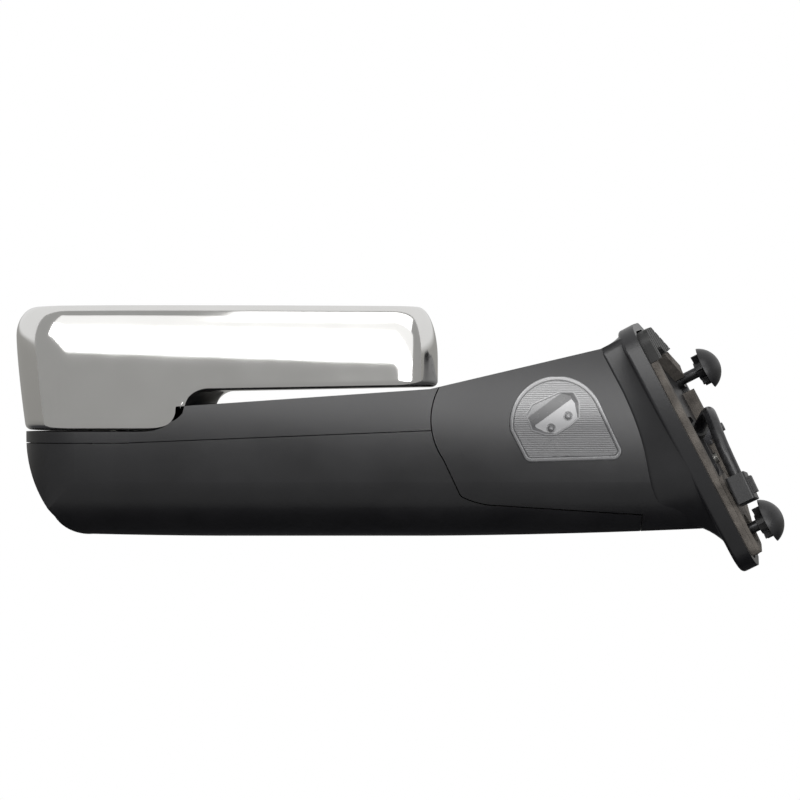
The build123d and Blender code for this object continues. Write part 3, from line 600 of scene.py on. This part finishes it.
def span(y, loop):
    """The loop's least and greatest x at a y."""
    crossings = []
    for (ax, ay), (bx, by) in zip(loop, loop[1:] + loop[:1]):
        if (ay > y) != (by > y):
            crossings.append((bx - ax) * (y - ay) / (by - ay) + ax)
    return min(crossings), max(crossings)


def lamp_face():
    """The puddle lamp's face, as a grid of points in rows across its outline."""
    outline = lens_outline()
    pocket = rounded_loop([(corner, POCKET_R) for corner in POCKET], 4)
    low = min(point[1] for point in outline) + LAMP_GAP_Y
    high = max(point[1] for point in outline) - LAMP_GAP_Y
    points, faces = [], []
    for j in range(LAMP_ROWS + 1):
        y = low + (high - low) * j / LAMP_ROWS
        left, right = span(y, outline)
        for i in range(LAMP_COLUMNS + 1):
            x = left + LAMP_GAP_X + (right - left - 2 * LAMP_GAP_X) * i / LAMP_COLUMNS
            points.append(spot(x, y, lens_height(x, y, outline, pocket)))
    for j in range(LAMP_ROWS):
        for i in range(LAMP_COLUMNS):
            a = j * (LAMP_COLUMNS + 1) + i
            faces.append((a, a + 1, a + LAMP_COLUMNS + 2, a + LAMP_COLUMNS + 1))
    face = mesh_object("lamp_face", points, faces, LENS_PAINTED_SHADE)
    thicken(face, LAMP_THICKNESS, 0)
    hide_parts("lamp_lens")
    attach(face, "base")


# u runs along the flange, v up it, and out is along its studs.
FLANGE_OUT = Vector(JOINTS["cap_upper_pull"]["axis"]).normalized()
FLANGE_ALONG = Vector((0, 0, 1)).cross(FLANGE_OUT).normalized()
if FLANGE_ALONG.y < 0:
    FLANGE_ALONG.negate()
FLANGE_UP = FLANGE_OUT.cross(FLANGE_ALONG)
if FLANGE_UP.z < 0:
    FLANGE_UP.negate()
FLANGE_MID = spot(134.75, 19.95, -10.0)                     # where u, v and out are 0
FLARE_MIDDLE = (0.0, 42.0)           # u and v of the point that the flare is drawn round
FLARE_START, FLARE_END = -27.0, -9.5
FLARE_EXTRA = 20.0                   # how much longer the flare is at its forward side
FLARE_SINK = 0.2                     # how far its narrow end goes into the wall
FLARE_TURNS, FLARE_STEPS = 240, 14
FLARE_THICKNESS = 1.2
OUTSIDE = 0.4                        # metres: a distance that is well clear of the base


def on_flange(u, v, out):
    return FLANGE_MID + (FLANGE_ALONG * u + FLANGE_UP * v + FLANGE_OUT * out) * MM


def base_flare():
    """Concave skirt between the base's walls and the thin edge of its flange."""
    housing = frame["nodes"]["base_housing"].data
    tree = BVHTree.FromPolygons([v.co for v in housing.vertices], [p.vertices for p in housing.polygons])

    def wall_radius(direction, out):
        start = on_flange(*FLARE_MIDDLE, out) + direction * OUTSIDE
        return OUTSIDE - (start - tree.ray_cast(start, -direction, OUTSIDE)[0]).length

    points = []
    for n in range(FLARE_TURNS):
        turn = 2 * math.pi * n / FLARE_TURNS
        direction = FLANGE_ALONG * math.cos(turn) + FLANGE_UP * math.sin(turn)
        begin = FLARE_START - FLARE_EXTRA * clamp(0.5 + 0.6 * math.cos(turn))
        inner, outer = wall_radius(direction, begin), wall_radius(direction, FLARE_END)
        for k in range(FLARE_STEPS + 1):
            bend = math.pi / 2 * k / FLARE_STEPS
            widening, sinking = 1 - math.cos(bend), 1 - math.sin(bend)
            radius = inner + (outer - inner) * widening - FLARE_SINK * MM * sinking
            out = begin + (FLARE_END - begin) * math.sin(bend)
            points.append(on_flange(*FLARE_MIDDLE, out) + direction * radius)
    skirt = mesh_object("base_flare", points, ring_faces(FLARE_TURNS, FLARE_STEPS + 1), PLASTIC)
    thicken(skirt, FLARE_THICKNESS, -1)
    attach(skirt, "base")


SEAM_EDGE = [(-39.4, 27.4), (-33.3, 40.3), (-27.15, 53.28)]
SWEEP_R = 59.8                       # radius of the seam's round part, about the fold axis
SWEEP_FROM, SWEEP_TURN, SWEEP_STEPS = 117, 27, 12           # in degrees
LINER_SIDES, LINER_Z = (-1.5, 0.6), (24, 44)


def seam_liner():
    """Thin lip inside the base's seam, so that no light comes through it."""
    edge = list(SEAM_EDGE)
    for k in range(1, SWEEP_STEPS + 1):
        turn = math.radians(SWEEP_FROM - SWEEP_TURN * k / SWEEP_STEPS)
        edge.append((SWEEP_R * math.cos(turn), SWEEP_R * math.sin(turn)))
    (inner, outer), (bottom, top) = LINER_SIDES, LINER_Z
    points, faces = [], []
    for n, here in enumerate(edge):
        before, after = Vector(edge[max(n - 1, 0)]), Vector(edge[min(n + 1, len(edge) - 1)])
        along = (after - before).normalized()
        side = Vector((-along.y, along.x))
        for shift, z in ((inner, bottom), (outer, bottom), (outer, top), (inner, top)):
            place = Vector(here) + side * shift
            points.append(spot(place.x, place.y, z))
    for n in range(len(edge) - 1):
        for k in range(4):
            a, b = 4 * n + k, 4 * n + (k + 1) % 4
            faces.append((a, b, b + 4, a + 4))
    last = 4 * len(edge) - 4
    faces += [(3, 2, 1, 0), (last, last + 1, last + 2, last + 3)]
    liner = mesh_object("seam_liner", points, faces, RUBBER, smooth=False)
    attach(liner, "base")


chrome_shell()
lamp_face()
base_flare()
seam_liner()


# ---- Light, floor and camera ----
SOFTBOX_LEVEL = -1400.0
SOFTBOX_WIDTH = 3.0                  # metres
SOFTBOX_SPIN = -24.0                 # degrees; its near edge is closer at the inboard end
VIEW_MIDDLE = (-70, -14)
VIEW_WIDTH = 560.0                   # across the frame, at the underside
CAMERA_BELOW = 1500.0
FLOOR_HALF, FLOOR_BELOW = 9.0, 2.6   # metres


def area_light(name, place, target, width, height, power, spin=0.0):
    light = bpy.data.lights.new(name, "AREA")
    light.shape = "RECTANGLE"
    light.size, light.size_y = width, height
    light.energy = power
    obj = bpy.data.objects.new(name, light)
    bpy.context.scene.collection.objects.link(obj)
    obj.location = place
    turn = (Vector(target) - Vector(place)).to_track_quat("-Z", "Y")
    obj.rotation_euler = (turn @ Quaternion((0, 0, 1), math.radians(spin))).to_euler()


def softbox(name, x, y, height, power):
    """A wide light far below the object, facing straight up."""
    area_light(name, spot(x, y, SOFTBOX_LEVEL), spot(x, y, 0), SOFTBOX_WIDTH, height, power, SOFTBOX_SPIN)


def studio():
    """White to the camera; to the object, bright behind, grey at the sides and below, dark in front."""
    world = bpy.data.worlds.new("studio")
    bpy.context.scene.world = world
    world.use_nodes = True
    nodes, links = world.node_tree.nodes, world.node_tree.links
    background, output = nodes["Background"], nodes["World Output"]
    coords = nodes.new("ShaderNodeTexCoord")
    split = nodes.new("ShaderNodeSeparateXYZ")
    links.new(coords.outputs["Generated"], split.inputs["Vector"])
    levels = nodes.new("ShaderNodeValToRGB")
    elements = levels.color_ramp.elements
    elements[0].position, elements[0].color = 0.0, (0.98, 0.98, 0.98, 1)
    elements[1].position, elements[1].color = 1.0, (0.01, 0.01, 0.012, 1)
    for position, color in ((0.40, (0.95, 0.95, 0.95, 1)), (0.44, (0.42, 0.415, 0.40, 1)),
                            (0.56, (0.36, 0.355, 0.34, 1)), (0.70, (0.06, 0.06, 0.065, 1))):
        elements.new(position).color = color
    links.new(share_between(nodes, links, split.outputs["Y"], -1.0, 1.0), levels.inputs["Fac"])
    links.new(levels.outputs["Color"], background.inputs["Color"])
    background.inputs["Strength"].default_value = 0.85
    white = nodes.new("ShaderNodeBackground")
    white.inputs["Color"].default_value = (1, 1, 1, 1)
    path = nodes.new("ShaderNodeLightPath")
    mix = nodes.new("ShaderNodeMixShader")
    links.new(path.outputs["Is Camera Ray"], mix.inputs["Fac"])
    links.new(background.outputs["Background"], mix.inputs[1])
    links.new(white.outputs["Background"], mix.inputs[2])
    links.new(mix.outputs["Shader"], output.inputs["Surface"])


def camera():
    data = bpy.data.cameras.new("camera")
    data.sensor_width = 36.0
    data.lens = data.sensor_width * CAMERA_BELOW / VIEW_WIDTH
    data.clip_end = 50
    obj = bpy.data.objects.new("camera", data)
    bpy.context.scene.collection.objects.link(obj)
    turn = Matrix(((1, 0, 0), (0, -1, 0), (0, 0, -1)))
    obj.matrix_world = Matrix.Translation(spot(*VIEW_MIDDLE, -CAMERA_BELOW)) @ turn.to_4x4()
    bpy.context.scene.camera = obj


def floor():
    mesh = bpy.data.meshes.new("floor")
    sides = ((-1, -1), (1, -1), (1, 1), (-1, 1))
    corners = [(x * FLOOR_HALF, y * FLOOR_HALF, BASE.z - FLOOR_BELOW) for x, y in sides]
    mesh.from_pydata(corners, [], [(0, 1, 2, 3)])
    obj = bpy.data.objects.new("floor", mesh)
    bpy.context.scene.collection.objects.link(obj)
    paint(obj, grained("pale_floor", (0.80, 0.80, 0.79), (0.86, 0.86, 0.85), 0.7, 40.0, 0.0005))


studio()
camera()
floor()
softbox("softbox", -123, -494, 0.6, 23)
softbox("far_softbox", 182, -1180, 0.9, 6.5)
area_light("key", spot(110, -520, -330), spot(60, 0, 0), 0.7, 0.3, 1.0)
bpy.context.scene.view_settings.view_transform = "Standard"
